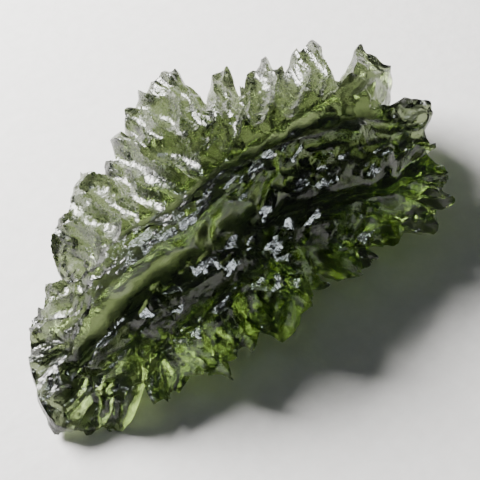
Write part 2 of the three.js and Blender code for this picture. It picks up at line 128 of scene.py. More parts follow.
LOWER_FLANK = [
    [(-16.8, -3.9, 0.8, 0.5), (-14.5, -4.3, 0.9, 0.5)],
    [(-9.7, -6.4, 1.9, 1.2), (-10.6, -8.2, 2, 1.1), (-11, -10.2, 1.8, 1.1)],
    [(-7.5, -6.2, 1.9, 1.1), (-7.4, -8.2, 2, 1), (-7.5, -10.5, 1.8, 1)],
    [(-13.1, -5.9, 0.7, 0.6), (-12.2, -6.8, 1.1, 0.6), (-12.6, -9, 1.2, 0.6)],
    [(-4.2, -6.3, 1.9, 0.9), (-4.6, -7.8, 1.9, 0.8), (-4.8, -10, 1.8, 0.7)],
    [(-1.4, -6.9, 2.1, 0.9), (-2.6, -7.4, 2.1, 0.9)],
    [(-1.3, -7.4, 2, 0.9), (-0.9, -8.6, 1.9, 0.8), (-0.4, -10.5, 1.8, 0.8)],
    [(-1.6, -5.5, 1.6, 0.5), (0.4, -6.1, 1.7, 0.6)],
    [(1.6, -6.9, 1.6, 0.8), (1.9, -8.1, 1.8, 0.8), (2.3, -10.6, 1.8, 0.8)],
    [(2.9, -3, 1.3, 0.6), (3.6, -3.7, 1.6, 0.8)],
    [(4.7, -3.3, 1.3, 0.7), (5.4, -4.3, 1.7, 0.9)],
    [(6.8, -4.2, 1.3, 0.6), (7.6, -5, 1.3, 0.6)],
    [(5.4, -2.6, 0.8, 0.35), (7.2, -3.2, 0.9, 0.35), (8.4, -4.3, 0.9, 0.4), (8.9, -5.4, 0.9, 0.4)],
    [(1, -5.5, 1.5, 0.5), (2.8, -6.1, 1.7, 0.6), (4.6, -6.9, 1.9, 0.7), (5.4, -7.5, 2, 0.7)],
    [(3.4, -7.9, 1.8, 0.7), (3.9, -9.2, 1.8, 0.7), (4, -10.9, 1.7, 0.7)],
    [(5.2, -8.1, 2, 0.8), (5.9, -9.2, 2, 0.8), (6.1, -11, 1.8, 0.8)],
    [(5.2, -6.3, 1.2, 0.4), (7, -7.7, 1.6, 0.5), (8.6, -9.2, 1.7, 0.6), (9.2, -11, 1.7, 0.7)],
    [(6.6, -6.2, 1.2, 0.4), (8.4, -7.3, 1.5, 0.5), (10.3, -8.7, 1.5, 0.6), (11.2, -10.8, 1.5, 0.7)],
    [(8.4, -6.5, 1.1, 0.4), (10.5, -7.8, 1.3, 0.45), (12.2, -9.2, 1.3, 0.5), (13, -10.8, 1.4, 0.6)],
    [(10, -6.9, 1, 0.4), (12, -7.7, 1.2, 0.45), (14.4, -9.1, 1.2, 0.5)],
    [(12, -7.1, 0.9, 0.35), (13.4, -7.5, 1, 0.4), (15.5, -8.3, 1, 0.4)]]
RIGHT_END = [
    [(9.4, -4.7, 1.1, 0.6), (11, -5, 1.1, 0.5), (13.5, -5.8, 1.2, 0.5), (15.8, -6.2, 1.3, 0.6)],
    [(10.6, -3.9, 0.9, 0.4), (12, -4.4, 1, 0.5), (14.5, -4.6, 0.9, 0.4)],
    [(11.6, -2.2, 0.9, 0.5), (13.6, -2, 1.2, 0.5), (16, -1.5, 1.6, 0.6), (18, -1.2, 1.8, 0.7)],
    [(13, -3.4, 0.6, 0.4), (15.5, -3.6, 0.6, 0.4)],
    [(11, -0.4, 0.8, 0.9), (14, 0.2, 0.7, 1), (17, 0.9, 0.6, 1.1), (19, 1.2, 0.6, 1.1)],
    [(10, 0.1, 0.8, 0.3), (11.4, 0.7, 1.2, 0.35), (13.2, 1.9, 1.6, 0.45), (15.6, 4.2, 1.8, 0.7)],
    [(10.6, 1.2, 1.1, 0.6), (12.2, 3.2, 1.2, 0.7), (13.3, 5, 1, 0.6), (14.4, 7.2, 0.9, 0.6)]]
UPPER_FLANK = [
    [(7, 1, 1.3, 0.7), (9.5, 3, 1.7, 0.8), (11.2, 5.2, 1.3, 0.8), (12.2, 7.4, 1, 0.6)],
    [(4.4, 1.8, 0.9, 0.6), (7.2, 3.7, 1.3, 0.75), (9.2, 6, 0.9, 0.7), (10.4, 8.2, 0.6, 0.6)],
    [(4.4, 3, 1.2, 0.4), (5.6, 4.3, 2, 0.5), (6.9, 5.9, 2.2, 0.5), (7.9, 6.9, 2.2, 0.3)],
    [(3.6, 3.8, 1.1, 0.4), (5.4, 5.9, 1, 0.5), (7.2, 8.2, 0.7, 0.5), (8.4, 10.2, 0.5, 0.5)],
    [(3.6, 5.1, 1.3, 0.45), (4.7, 6.8, 1.7, 0.5), (5.8, 8.6, 1.8, 0.5), (7, 11.4, 2, 0.8)],
    [(3.2, 4.8, 1.2, 0.5), (4, 7, 1.1, 0.6), (4.6, 9.6, 0.7, 0.6), (4.9, 12, 0.5, 0.6)],
    [(1.9, 4.1, 1, 0.45), (2.7, 6.2, 1.2, 0.5), (3.2, 8.6, 0.8, 0.5), (3.4, 11.5, 0.5, 0.5)],
    [(1, 0.6, 1.3, 0.7), (2.4, 2.2, 1.5, 0.7), (3.4, 3.4, 1.4, 0.5)],
    [(-0.5, 2.3, 0.9, 0.5), (0.8, 3, 1, 0.6)],
    [(0.3, 1.8, 0.7, 0.3), (1.9, 2.7, 0.8, 0.35)],
    [(0.6, 4.6, 1.2, 0.6), (1, 6.8, 1.4, 0.65), (1.2, 9, 1, 0.55), (1.3, 11.5, 0.8, 0.5)],
    [(-0.7, 5.3, 0.9, 0.35), (-0.75, 7.2, 0.9, 0.4), (-0.4, 9.3, 0.6, 0.4), (-0.2, 11, 0.5, 0.4)],
    [(-1.5, 0.8, 1.4, 0.8), (-1.3, 2.5, 1.6, 0.7), (-1.5, 4.6, 2, 1.1), (-1.7, 5.1, 1.9, 0.9)],
    [(-1.5, 6.3, 1.2, 0.3), (-1.25, 8, 1.1, 0.35), (-1.1, 10, 1, 0.4)],
    [(-3.5, 0.6, 1.4, 0.65), (-3.4, 3, 1.6, 0.7), (-3.6, 5, 1.2, 0.6), (-3.3, 7.2, 0.9, 0.5),
      (-3.1, 9, 0.8, 0.5)],
    [(-5.2, 0.7, 1.35, 0.65), (-5, 3, 1.7, 0.65), (-4.7, 5.2, 1.5, 0.5), (-4.5, 7.4, 1.5, 0.45),
      (-4.4, 9, 1.4, 0.5)],
    [(-7, 0.8, 1.2, 0.6), (-6.7, 3.2, 1.3, 0.65), (-6.4, 5.2, 1.3, 0.7), (-6.5, 6.2, 1, 0.7)],
    [(-8.6, 0.9, 1.1, 0.7), (-8.3, 3, 1.4, 0.75), (-8.4, 5, 0.8, 0.75), (-8.7, 7.6, 0.5, 0.7)],
    [(-10.1, 1, 1, 0.5), (-10.1, 2.8, 1.2, 0.55), (-10, 5, 0.6, 0.5), (-10, 7, 0.4, 0.5)]]
LEFT_LOBE = [
    [(-10.4, 0.5, 1, 0.35), (-11.2, 1.8, 1.8, 0.5), (-11.6, 3.6, 2, 0.6)],
    [(-10.9, -0.5, 0.7, 0.45), (-12, 0.5, 0.9, 0.5), (-13.2, 1.8, 0.8, 0.5),
      (-14.2, 3.4, 0.8, 0.5)],
    [(-13.4, 0, 0.8, 0.5), (-14.3, 1.2, 0.8, 0.5), (-15.2, 2.8, 0.8, 0.5)],
    [(-13.2, -1, 0.7, 0.4), (-14.4, -0.6, 0.7, 0.4)],
    [(-14.9, -0.6, 0.7, 0.5), (-16.2, 0.4, 0.8, 0.5), (-17.4, 1.4, 0.9, 0.5)],
    [(-15.4, -1.6, 0.5, 0.5), (-18.2, -1.6, 0.5, 0.5)],
    [(-15.6, -5.4, 0.5, 0.7), (-18, -6.2, 0.5, 0.7)],
    [(-13, -5.6, 0.5, 0.4), (-15.6, -6.6, 0.5, 0.5), (-17.2, -7.8, 0.5, 0.5)]]
# Flat ledges, as (x, y, half length along the stone, half width, bite).
LEDGES = [
    # along the crest between the two long channels
    (-9, -0.6, 0.7, 0.25, 0.1), (-7.9, -1.2, 0.9, 0.35, 0.12), (-6.8, -1.8, 0.9, 0.35, 0.14),
    (-5.8, -2.3, 0.9, 0.35, 0.14), (-4.8, -2.3, 0.9, 0.4, 0.14), (-3.7, -2.1, 0.7, 0.35, 0.12),
    (-2.9, -1.8, 0.5, 0.3, 0.1), (-1.1, -2.3, 0.7, 0.35, 0.12), (-0.2, -2.5, 0.8, 0.4, 0.14),
    (1.2, -2, 0.9, 0.4, 0.14), (2.8, -1.6, 0.8, 0.35, 0.12), (4.1, -1.9, 0.6, 0.3, 0.1),
    (-0.6, -3.1, 0.5, 0.3, 0.12),
    # round the arch on the right
    (4.7, -2.5, 0.4, 0.2, 0.1), (6.1, -3.5, 0.6, 0.2, 0.12), (7.2, -3.9, 0.6, 0.2, 0.12),
    (2.1, -3.5, 0.5, 0.3, 0.15), (3.8, -2.7, 0.4, 0.35, 0.2), (3.4, -4, 0.6, 0.35, 0.25),
    (4.8, -4.7, 0.6, 0.35, 0.25), (5.5, -3.8, 0.4, 0.25, 0.15), (7.9, -5.9, 0.7, 0.35, 0.2),
    (9.1, -4.2, 0.5, 0.15, 0.1), (10, -4.9, 0.5, 0.15, 0.1), (9.8, -5.8, 0.5, 0.3, 0.2),
    # along the foot of the broad slope
    (-10.2, -4, 0.5, 0.3, 0.2), (-8.3, -3.9, 0.7, 0.3, 0.2), (-6.3, -4, 0.7, 0.3, 0.2),
    (-5.4, -4.1, 0.5, 0.3, 0.2), (-4.5, -5.3, 0.7, 0.35, 0.2), (-2.7, -4.2, 0.9, 0.45, 0.25),
    (-1.4, -5.1, 0.6, 0.35, 0.2), (0.3, -4.1, 0.7, 0.3, 0.2), (-2.5, -5.4, 0.4, 0.25, 0.15),
    # down the near flank
    (-6.5, -6.3, 0.5, 0.35, 0.25), (-8.3, -5, 0.4, 0.3, 0.2), (-8.7, -7, 0.8, 0.5, 0.3),
    (-3.1, -7.2, 0.8, 0.45, 0.3), (-2.1, -7.4, 0.7, 0.5, 0.3), (-0.3, -5.8, 0.7, 0.4, 0.25),
    (-0.7, -6.6, 0.5, 0.3, 0.25), (-3.7, -6.6, 0.5, 0.3, 0.25), (-0.9, -7.9, 0.4, 0.3, 0.2),
    (5.8, -8.2, 0.7, 0.45, 0.3), (3.3, -7.9, 0.7, 0.4, 0.3), (3, -5.8, 0.8, 0.35, 0.2),
    # on the left lobe and at the right end
    (-14.5, -4.2, 0.5, 0.3, 0.15), (-13.4, -4.9, 0.7, 0.35, 0.15), (-11.6, -8.4, 0.6, 0.4, 0.2),
    (12.6, -5.2, 0.7, 0.4, 0.2), (14.6, -4, 0.9, 0.4, 0.2)]
# Long hollows in the underside, as (x, y, height above the uncut underside, radius).
HOLLOWS = [
    [(-12, 1.2, 1.2, 1.5), (-7, 1.8, 2.4, 2), (-1, 2, 3, 2.3), (6, 2, 3, 2.3),
      (10, 2.8, 2.4, 2), (13, 3, 1.6, 1.6)]]
TOP_GROOVES = LONG_CHANNELS + LOWER_FLANK + RIGHT_END + UPPER_FLANK + LEFT_LOBE
TOP, UNDERSIDE = 1, -1   # the two ways that a cut faces


# ---- leaf coordinates: "out" grows from 0 on the spine, "round" is the angle round it ----
def leaf_coordinates(x, y):
    across = y - SPINE_Y
    to_left = np.hypot(x + SPINE_HALF, across)
    to_right = np.hypot(x - SPINE_HALF, across)
    stretch = np.maximum((to_left + to_right) / (2 * SPINE_HALF), 1)
    turn = np.arccos(np.clip((to_left - to_right) / (2 * SPINE_HALF), -1, 1))
    return np.sqrt(stretch**2 - 1), np.where(across < 0, -turn, turn)


def leaf_point(out, round_):
    x = SPINE_HALF * np.sqrt(1 + out**2) * np.cos(round_)
    return x, SPINE_Y + SPINE_HALF * out * np.sin(round_)


def along(pairs, at):
    """Reads a table of pairs at any place between its first numbers."""
    return np.interp(at, *zip(*pairs))


def rim_order():
    """The rim's points by their angle round the spine: angle, distance out, height."""
    x, y, z = np.array(RIM).T
    out, round_ = leaf_coordinates(x, y)
    order = np.argsort(round_)
    return round_[order], out[order], z[order]


RIM_ROUND, RIM_OUT, RIM_HEIGHT = rim_order()


def rim_reach(round_):
    return np.interp(round_, RIM_ROUND, RIM_OUT, period=2 * math.pi)


def face_heights(x, y):
    """Heights of the uncut top and underside, and how far a point is outside the rim.

    Both faces run from their height over the spine to the rim. The underside rises to it sooner
    and more gently on the far side, which lets light in under the stone there.
    """
    out, round_ = leaf_coordinates(x, y)
    reach = rim_reach(round_)
    part = out / reach
    rim_height = np.interp(round_, RIM_ROUND, RIM_HEIGHT, period=2 * math.pi)
    edge_top = rim_height + EDGE_HALF
    edge_bottom = rim_height - EDGE_HALF - 2 * along(RIM_BODY, round_) + 2 * SHARP_BODY
    # Both go from 1 over the spine to 0 at the rim: high powers inside keep the middle flat, and
    # low ones outside make the edge blunt.
    rise = np.maximum(0, 1 - part**2.2) ** 0.8
    far_side = np.clip(np.sin(round_), 0, 1)
    fall = np.maximum(0, 1 - part ** (2.4 - 0.9 * far_side)) ** (0.7 + 0.3 * far_side)
    top = edge_top + (along(CROWN, x) - edge_top) * rise
    bottom = edge_bottom + (along(BELLY, x) - edge_bottom) * fall
    width = SPINE_HALF * np.sqrt(out**2 + np.sin(round_) ** 2) / np.sqrt(1 + out**2)
    return top, bottom, (out - reach) * width


# ---- grooves ----
# A cut is one straight run of a groove: (x, y, z, radius) at its two ends, then TOP or UNDERSIDE,
# then how far above its axis it reaches.
def runs(nodes, facing, headroom):
    return [(*a, *b, facing, headroom) for a, b in zip(nodes, nodes[1:])]


def large_cuts():
    cuts = []
    for groove in TOP_GROOVES:
        x, y, depth, radius = np.array(groove, float).T
        top = face_heights(x, y)[0]
        cuts += runs(list(zip(x, y, top - depth + radius, radius)), TOP, 3)
    for groove in HOLLOWS + [underside_groove(k) for k in range(UNDERSIDE_GROOVES)]:
        x, y, depth, radius = np.array(groove, float).T
        bottom = face_heights(x, y)[1]
        cuts += runs(list(zip(x, y, bottom + depth - radius, radius)), UNDERSIDE, 3)
    return np.array(cuts)


def underside_groove(k):
    """Grooves fan out under the stone, cut up its resting face and notch the rim from below."""
    sway = math.sin(k * 2.3)
    round_ = -math.pi + 2 * math.pi * (k + 0.3 * sway) / UNDERSIDE_GROOVES
    reach = rim_reach(round_)
    start = 0.3 + 0.14 * math.sin(k * 3.1)
    depth = (0.55 + 0.15 * math.sin(k * 1.7)) * (1 if round_ > 0 else 1.3)
    radius = 0.6 + 0.15 * sway
    return [(*leaf_point(reach * part, round_), depth * share, radius)
            for part, share in [(start, 0.8), (0.7, 1.2), (1.12, 0.6)]]


LARGE_CUTS = large_cuts()


def beside_cuts(x, y, cuts):
    """As points by cuts: the share of the way along each cut, the distance off it, its radius."""
    x0, y0, _, r0, x1, y1, _, r1, _, _ = cuts.T
    run_x, run_y = x1 - x0, y1 - y0
    from_x, from_y = x[:, None] - x0, y[:, None] - y0
    share = (from_x * run_x + from_y * run_y) / np.maximum(run_x**2 + run_y**2, 1e-9)
    share = np.clip(share, 0, 1)
    away = np.hypot(from_x - share * run_x, from_y - share * run_y)
    return share, away, r0 + (r1 - r0) * share


def into_cuts(points, cuts):
    """How far each point lies inside each cut, as points by cuts: positive within it."""
    share, away, radius = beside_cuts(points[:, 0], points[:, 1], cuts)
    z0, z1, facing = cuts[:, 2], cuts[:, 6], cuts[:, 8]
    lift = (points[:, 2:3] - z0 - (z1 - z0) * share) * facing
    wall = radius - away * math.cos(LEAN) + lift * math.sin(LEAN)
    floor = radius - np.hypot(away, lift)
    return np.where(away * math.sin(LEAN) + lift * math.cos(LEAN) > 0, wall, floor)


def etched_heights(x, y, cuts, facing):
    """Height of the TOP or the UNDERSIDE once the cuts are made."""
    surface = face_heights(x, y)[0 if facing == TOP else 1]
    cuts = cuts[cuts[:, 8] == facing]
    share, away, radius = beside_cuts(x, y, cuts)
    on_floor = away < radius * math.cos(LEAN)
    drop = np.sqrt(np.maximum(radius**2 - away**2, 0))
    climb = (away * math.cos(LEAN) - radius) / math.sin(LEAN)
    z0, z1 = cuts[:, 2], cuts[:, 6]
    groove = z0 + (z1 - z0) * share + facing * np.where(on_floor, -drop, climb)
    if facing == TOP:
        return np.minimum(surface, groove.min(1))
    return np.maximum(surface, groove.max(1))


def slopes(height, x, y, step):
    """How steeply a height rises towards +X and towards +Y, measured over a step each way."""
    return [(height(x + step, y) - height(x - step, y)) / (2 * step),
            (height(x, y + step) - height(x, y - step)) / (2 * step)]


def channel_calm(x, y, z):
    """1 on the floors and walls of the calm channels, falling to 0 a little way off them."""
    channels = sum(len(groove) - 1 for groove in TOP_GROOVES[:CALM_CHANNELS])
    deepest = into_cuts(np.stack([x, y, z], 1), LARGE_CUTS[:channels]).max(1)
    fade = 0.2
    return np.clip(1 + deepest / fade, 0, 1)


def small_cuts(cuts, seed, count, facing, part_range, length_range, radius_range, bite_range):
    """Gullies down the etched walls; on nearly level ground they fan out from the spine."""
    rng = np.random.default_rng(seed)
    round_ = rng.uniform(-math.pi, math.pi, count)
    part = np.sqrt(rng.uniform(part_range[0] ** 2, part_range[1] ** 2, count))
    x, y = leaf_point(rim_reach(round_) * part, round_)
    height = lambda px, py: etched_heights(px, py, cuts, facing)
    slope_x, slope_y = [slope * facing for slope in slopes(height, x, y, 0.3)]
    steep = np.hypot(slope_x, slope_y)
    out_x, out_y = leaf_point(rim_reach(round_) * (part + 0.02), round_)
    fan = np.arctan2(out_y - y, out_x - x)
    heading = np.where(steep > 0.5, np.arctan2(-slope_y, -slope_x), fan)
    near_rim = part > 0.6
    on_wall = ((steep > 0.4) | near_rim) & (channel_calm(x, y, height(x, y)) < 0.5)
    heading = heading + rng.normal(0, 0.3, count)
    length = rng.uniform(*length_range, count)
    radius = rng.uniform(*radius_range, count)
    bite = rng.uniform(*bite_range, count) * np.sqrt(1 + np.minimum(steep, 2) ** 2)
    nodes = []
    for share, depth_share in [(-0.35, 0.6), (0.2, 1), (0.65, 0.5)]:
        px = x + share * length * np.cos(heading)
        py = y + share * length * np.sin(heading)
        pz = height(px, py) + facing * (radius - bite * depth_share)
        nodes.append(np.stack([px, py, pz, radius], 1))
    made = []
    for a, b, c in zip(*[node[on_wall] for node in nodes]):
        made += runs([tuple(a), tuple(b), tuple(c)], facing, 1)
    return np.array(made)


def scallops(cuts, seed, count, facing, radius_range, bite_range):
    """Round shell-like facets scooped square to the etched surface."""
    rng = np.random.default_rng(seed)
    round_ = rng.uniform(-math.pi, math.pi, count)
    part = np.sqrt(rng.uniform(0.01, 0.9, count))
    x, y = leaf_point(rim_reach(round_) * part, round_)
    height = lambda px, py: etched_heights(px, py, cuts, facing)
    slope_x, slope_y = slopes(height, x, y, 0.25)
    radius = rng.uniform(*radius_range, count)
    stand_off = (radius - rng.uniform(*bite_range, count)) / np.sqrt(1 + slope_x**2 + slope_y**2)
    centre = np.stack([x - slope_x * stand_off * facing, y - slope_y * stand_off * facing,
                       height(x, y) + stand_off * facing, radius], 1)
    around = sum(height(x + radius * math.cos(turn), y + radius * math.sin(turn))
                 for turn in np.arange(8) * math.pi / 4) / 8
    on_ridge = (around - height(x, y)) * facing < 0.1 * radius
    on_ridge &= channel_calm(x, y, height(x, y)) < 0.5
    return np.array([runs([tuple(c), tuple(c)], facing, 1)[0] for c in centre[on_ridge]])


def swayed(points, reach, wave, seed):
    """Moves points a little with a few crossing waves, so that no groove runs dead straight."""
    waves = 7
    rng = np.random.default_rng(seed)
    fronts = rng.normal(size=(3, waves))
    fronts *= 2 * math.pi / wave * rng.uniform(0.7, 1.4, waves) / np.linalg.norm(fronts, axis=0)
    pushes = rng.normal(size=(waves, 3)) * reach / math.sqrt(waves)
    return points + np.sin(points @ fronts + rng.uniform(0, 2 * math.pi, waves)) @ pushes


def wandering(points):
    """Where points on the stone lie in the unswayed lens and grooves."""
    return swayed(swayed(points, *BROAD_SWAY), *FINE_SWAY)


def ledges(cuts):
    """Small planes cut nearly level into the skin, each by its middle, its way along, across and
    up, and half its length and width."""
    rng = np.random.default_rng(41)
    x, y, half_length, half_width, bite = np.array(LEDGES).T
    up = np.array(LEDGE_UP) + rng.normal(0, LEDGE_TILT, (len(LEDGES), 3))
    turn = rng.normal(-0.1, 0.3, len(LEDGES))
    along_it = np.stack([np.cos(turn), np.sin(turn), 0 * turn], 1)
    up /= np.linalg.norm(up, axis=1, keepdims=True)
    along_it -= up * (along_it * up).sum(1, keepdims=True)
    along_it /= np.linalg.norm(along_it, axis=1, keepdims=True)
    centre = np.stack([x, y, etched_heights(x, y, cuts, TOP)], 1)
    unswayed = 2 * centre - swayed(centre, *BROAD_SWAY)
    centre = unswayed - up * bite[:, None]
    return list(zip(centre, along_it, np.cross(up, along_it), up, half_length, half_width))


def into_ledges(points):
    """How far each point lies inside the room that the ledges leave open: positive within it.

    Each ledge is a ragged oval floor with walls that lean out above it.
    """
    reach = 3
    deepest = np.full(len(points), -np.inf)
    ragged = swayed(points, *RAGGED_SWAY)
    for centre, along_it, across, up, half_length, half_width in CUT_LEDGES:
        offset = points - centre
        near = np.nonzero((offset**2).sum(1) < reach**2)[0]
        u, v = [(ragged[near] - centre) @ side for side in (along_it, across)]
        above = offset[near] @ up
        oval = np.hypot(u / half_length, v / half_width)
        walls = (1.1 - oval) * half_width * 0.9 + 0.4 * above
        deepest[near] = np.maximum(deepest[near], np.minimum(above, walls))
    return deepest


def all_cuts():
    """The large cuts, then the random small ones, each kind made on what those before it left."""
    shaped = np.concatenate([
        LARGE_CUTS,
        scallops(LARGE_CUTS, 31, SCALLOPS, TOP, radius_range=(0.4, 1), bite_range=(0.06, 0.18)),
        scallops(LARGE_CUTS, 32, SCALLOPS // 2, UNDERSIDE, radius_range=(0.6, 1.8),
                 bite_range=(0.05, 0.2)),
    ])
    return np.concatenate([
        shaped,
        small_cuts(shaped, 11, GULLIES, TOP, part_range=(0.1, 1), length_range=(0.8, 2.2),
                   radius_range=(0.22, 0.5), bite_range=(0.05, 0.15)),
        small_cuts(shaped, 12, PLEATS, TOP, part_range=(0.85, 1), length_range=(1, 2.4),
                   radius_range=(0.14, 0.3), bite_range=(0.1, 0.3)),
        small_cuts(shaped, 13, GULLIES // 3, UNDERSIDE, part_range=(0.2, 1), length_range=(1, 3),
                   radius_range=(0.15, 0.4), bite_range=(0.08, 0.25)),
    ])


CUT_LEDGES = ledges(LARGE_CUTS)


# ---- the stone as a signed field, positive outside ----
def field(points, cuts):
    """The lens, less the cuts near each point, less the ledges, worn flat at z = 0."""
    moved = wandering(points)
    top, bottom, outside = face_heights(moved[:, 0], moved[:, 1])
    z = moved[:, 2]
    value = np.maximum(np.maximum((z - top) * 0.8, (bottom - z) * 0.8), outside)
    inside = np.nonzero(value < SKIN)[0]
    tile = np.floor(moved[inside, :2] / TILE).astype(int)
    most = 1000              # more tiles than the stone is across, so each one has its own key
    key = (tile[:, 0] + most) * 2 * most + tile[:, 1] + most
    order = np.argsort(key, kind="stable")
    inside, tile, key = inside[order], tile[order], key[order]
    starts = np.nonzero(np.diff(key, prepend=-1))[0]
    x0, y0, _, r0, x1, y1, _, r1, _, headroom = cuts.T
    width = (np.maximum(r0, r1) + headroom * math.sin(LEAN)) / math.cos(LEAN)
    low = np.stack([np.minimum(x0, x1) - width, np.minimum(y0, y1) - width], 1)
    high = np.stack([np.maximum(x0, x1) + width, np.maximum(y0, y1) + width], 1)
    for first, last in zip(starts, [*starts[1:], len(key)]):
        corner = tile[first] * TILE
        near = ((low < corner + TILE) & (high > corner)).all(1)
        if near.any():
            here = inside[first:last]
            deepest = into_cuts(moved[here], cuts[near]).max(1)
            value[here] = np.maximum(value[here], deepest)
    value[inside] = np.maximum(value[inside], into_ledges(points[inside]))
    return np.maximum(value, -points[:, 2])


# ---- from the field to one closed mesh ----
def cube_parts():
    """Which sheet of surface crosses each edge of a cell, for the 256 ways its corners can lie.

    Indexed [code, axis of the edge, its place on the next axis, its place on the one after].
    Where all four sides of a face are crossed, the two inside corners are kept apart.
    """
    def edge_ends(axis, first, second):
        low = [0, 0, 0]
        low[(axis + 1) % 3], low[(axis + 2) % 3] = first, second
        high = list(low)
        high[axis] = 1
        return tuple(low), tuple(high)

    edges = {(axis, i, j): edge_ends(axis, i, j)
             for axis in range(3) for i in (0, 1) for j in (0, 1)}
    table = np.zeros((256, 3, 2, 2), int)
    for code in range(256):
        is_in = lambda corner: code >> (corner[0] + 2 * corner[1] + 4 * corner[2]) & 1
        label = {e: n for n, (e, (a, b)) in enumerate(edges.items()) if is_in(a) != is_in(b)}

        def join(group):
            for old in {label[e] for e in group}:
                for e in label:
                    if label[e] == old:
                        label[e] = min(label[g] for g in group)

        for axis in range(3):
            for side in (0, 1):
                crossed = [e for e in label if all(end[axis] == side for end in edges[e])]
                if len(crossed) == 2:
                    join(crossed)
                elif len(crossed) == 4:
                    for corner in {end for e in crossed for end in edges[e] if is_in(end)}:
                        join([e for e in crossed if corner in edges[e]])
        names = sorted(set(label.values()))
        for e, name in label.items():
            table[(code, *e)] = names.index(name)
    return table


def grid_of_field(cuts):
    """The grid's lowest corner, and the field at all of its corners."""
    axes = [np.arange(low, high, CELL) for low, high in [(-19, 19), (-12, 12.6), (-0.5, 10)]]
    corners = np.stack(np.meshgrid(*axes, indexing="ij"), -1)
    values = field(corners.reshape(-1, 3), cuts).reshape(corners.shape[:3])
    return np.array([axis[0] for axis in axes]), values


def crossings(origin, values, axis, cuts):
    """Where the surface crosses the grid's edges along one axis, with its normal there."""
    step = np.eye(3, dtype=int)[axis]
    inside = values < 0
    near = inside[tuple(slice(0, -1) if k == axis else slice(None) for k in range(3))]
    far = inside[tuple(slice(1, None) if k == axis else slice(None) for k in range(3))]
    index = np.argwhere(near != far)
    value_low, value_high = values[tuple(index.T)], values[tuple((index + step).T)]
    leaves = value_low < 0
    low, high = np.zeros(len(index)), np.ones(len(index))
    start = origin + index * CELL
    for narrowing in range(5):
        share = np.clip(value_low / (value_low - value_high), 0.05, 0.95)
        middle = low + (high - low) * share
        value = field(start + middle[:, None] * step * CELL, cuts)
        same = (value < 0) == (value_low < 0)
        low, value_low = np.where(same, middle, low), np.where(same, value, value_low)
        high, value_high = np.where(same, high, middle), np.where(same, value_high, value)
    middle = low + (high - low) * value_low / (value_low - value_high)
    points = start + middle[:, None] * step * CELL
    reach = CELL / 40
    normals = np.stack([field(points + reach * side, cuts) - field(points - reach * side, cuts)
                        for side in np.eye(3)], 1)
    normals /= np.linalg.norm(normals, axis=1, keepdims=True) + 1e-12
    return index, leaves, points, normals


def contour(cuts):
    """Dual contouring: one vertex for each sheet of surface in a cell, set on its crests."""
    origin, values = grid_of_field(cuts)
    inside = values < 0
    code = sum(inside[i:i - 1 or None, j:j - 1 or None, k:k - 1 or None].astype(int)
               << (i + 2 * j + 4 * k) for i in (0, 1) for j in (0, 1) for k in (0, 1))
    parts = cube_parts()
    sheets, points, normals, quads = [], [], [], []
    for axis in range(3):
        index, leaves, at, normal = crossings(origin, values, axis, cuts)
        first, second = np.eye(3, dtype=int)[(axis + 1) % 3], np.eye(3, dtype=int)[(axis + 2) % 3]
        around = []
        for i, j in [(1, 1), (0, 1), (0, 0), (1, 0)]:
            cell = index - i * first - j * second
            sheet = parts[code[tuple(cell.T)], axis, i, j]
            around.append(np.ravel_multi_index(tuple(cell.T), code.shape) * 4 + sheet)
        sheets += around
        points += [at] * 4
        normals += [normal] * 4
        quad = np.stack(around, 1)
        quads.append(np.where(leaves[:, None], quad, quad[:, ::-1]))
    names, vertex = np.unique(np.concatenate(sheets), return_inverse=True)
    points, normals = np.concatenate(points), np.concatenate(normals)
    count = np.bincount(vertex)
    gather = lambda column: np.bincount(vertex, column)
    centre = np.stack([gather(points[:, k]) for k in range(3)], 1) / count[:, None]
    offset = ((points - centre[vertex]) * normals).sum(1)
    pull = np.stack([gather(normals[:, k] * offset) for k in range(3)], 1)
    grip = np.array([[gather(normals[:, a] * normals[:, b]) for a in range(3)] for b in range(3)])
    hold = 0.02          # draws a vertex to the middle of its crossings where they don't fix it
    grip = grip.transpose(2, 0, 1) + hold * count[:, None, None] * np.eye(3)
    placed = centre + np.linalg.solve(grip, pull[..., None])[..., 0]
    cell_low = origin + np.stack(np.unravel_index(names // 4, code.shape), 1) * CELL
    placed = np.clip(placed, cell_low, cell_low + CELL)
    return placed, np.searchsorted(names, np.concatenate(quads))


def into_triangles(points, quads, cuts):
    """Each quad is split along the diagonal that lies nearer the surface."""
    gap = [np.abs(field((points[quads[:, k]] + points[quads[:, k + 2]]) / 2, cuts)) for k in (0, 1)]
    quads = np.where((gap[0] <= gap[1])[:, None], quads, np.roll(quads, -1, axis=1))
    return np.concatenate([quads[:, [0, 1, 2]], quads[:, [0, 2, 3]]])


def largest_piece(points, triangles):
    """Leaves out the few grains of stone that the grooves cut loose."""
    label = np.arange(len(points))
    while True:
        low = label[triangles].min(1)
        before = label.copy()
        for k in range(3):
            np.minimum.at(label, triangles[:, k], low)
        label = label[label]
        if (label == before).all():
            break
    keep = label == np.bincount(label).argmax()
    triangles = triangles[keep[triangles[:, 0]]]
    return points[keep], (np.cumsum(keep) - 1)[triangles]


